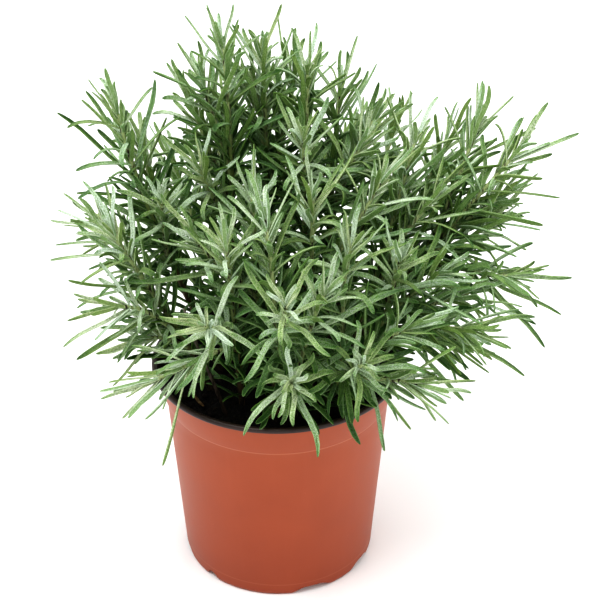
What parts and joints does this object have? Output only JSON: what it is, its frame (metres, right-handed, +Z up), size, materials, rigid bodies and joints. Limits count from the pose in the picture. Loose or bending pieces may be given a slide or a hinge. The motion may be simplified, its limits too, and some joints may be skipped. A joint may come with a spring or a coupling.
{
  "type": "potted_herb_plant",
  "caption": "Bushy potted rosemary: upright and spreading shoots of needle leaves rooted in dark compost in a thin terracotta-coloured plastic nursery pot",
  "frame": {"origin": "the middle of the pot's flat underside, on the surface it stands on", "axes": "+Z up; +X the right-hand side of the plant seen from its front; -Y the front; the pot's axis is the Z axis"},
  "size_m": [0.242, 0.2247, 0.2684],
  "materials": {
    "pot_plastic": "satin",
    "compost": "matte",
    "perlite": "matte",
    "rosemary": "matte",
    "dry_wood": "matte"
  },
  "bodies": {
    "root": {"pot": "pot_plastic", "soil": "compost", "branch_01": "rosemary", "branch_02": "rosemary", "branch_03": "rosemary", "branch_04": "rosemary", "branch_05": "rosemary", "branch_06": "rosemary", "branch_07": "rosemary", "branch_08": "rosemary", "branch_09": "rosemary", "branch_10": "rosemary", "branch_11": "rosemary", "branch_12": "rosemary", "branch_13": "rosemary", "branch_14": "rosemary", "branch_15": "rosemary", "branch_16": "rosemary", "branch_17": "rosemary", "branch_18": "rosemary", "dead_twig": "dry_wood", "dry_leaf_1": "dry_wood", "dry_leaf_2": "dry_wood", "dry_leaf_3": "dry_wood", "perlite_1": "perlite", "perlite_2": "perlite", "perlite_3": "perlite", "perlite_4": "perlite"}
  },
  "joints": []
}
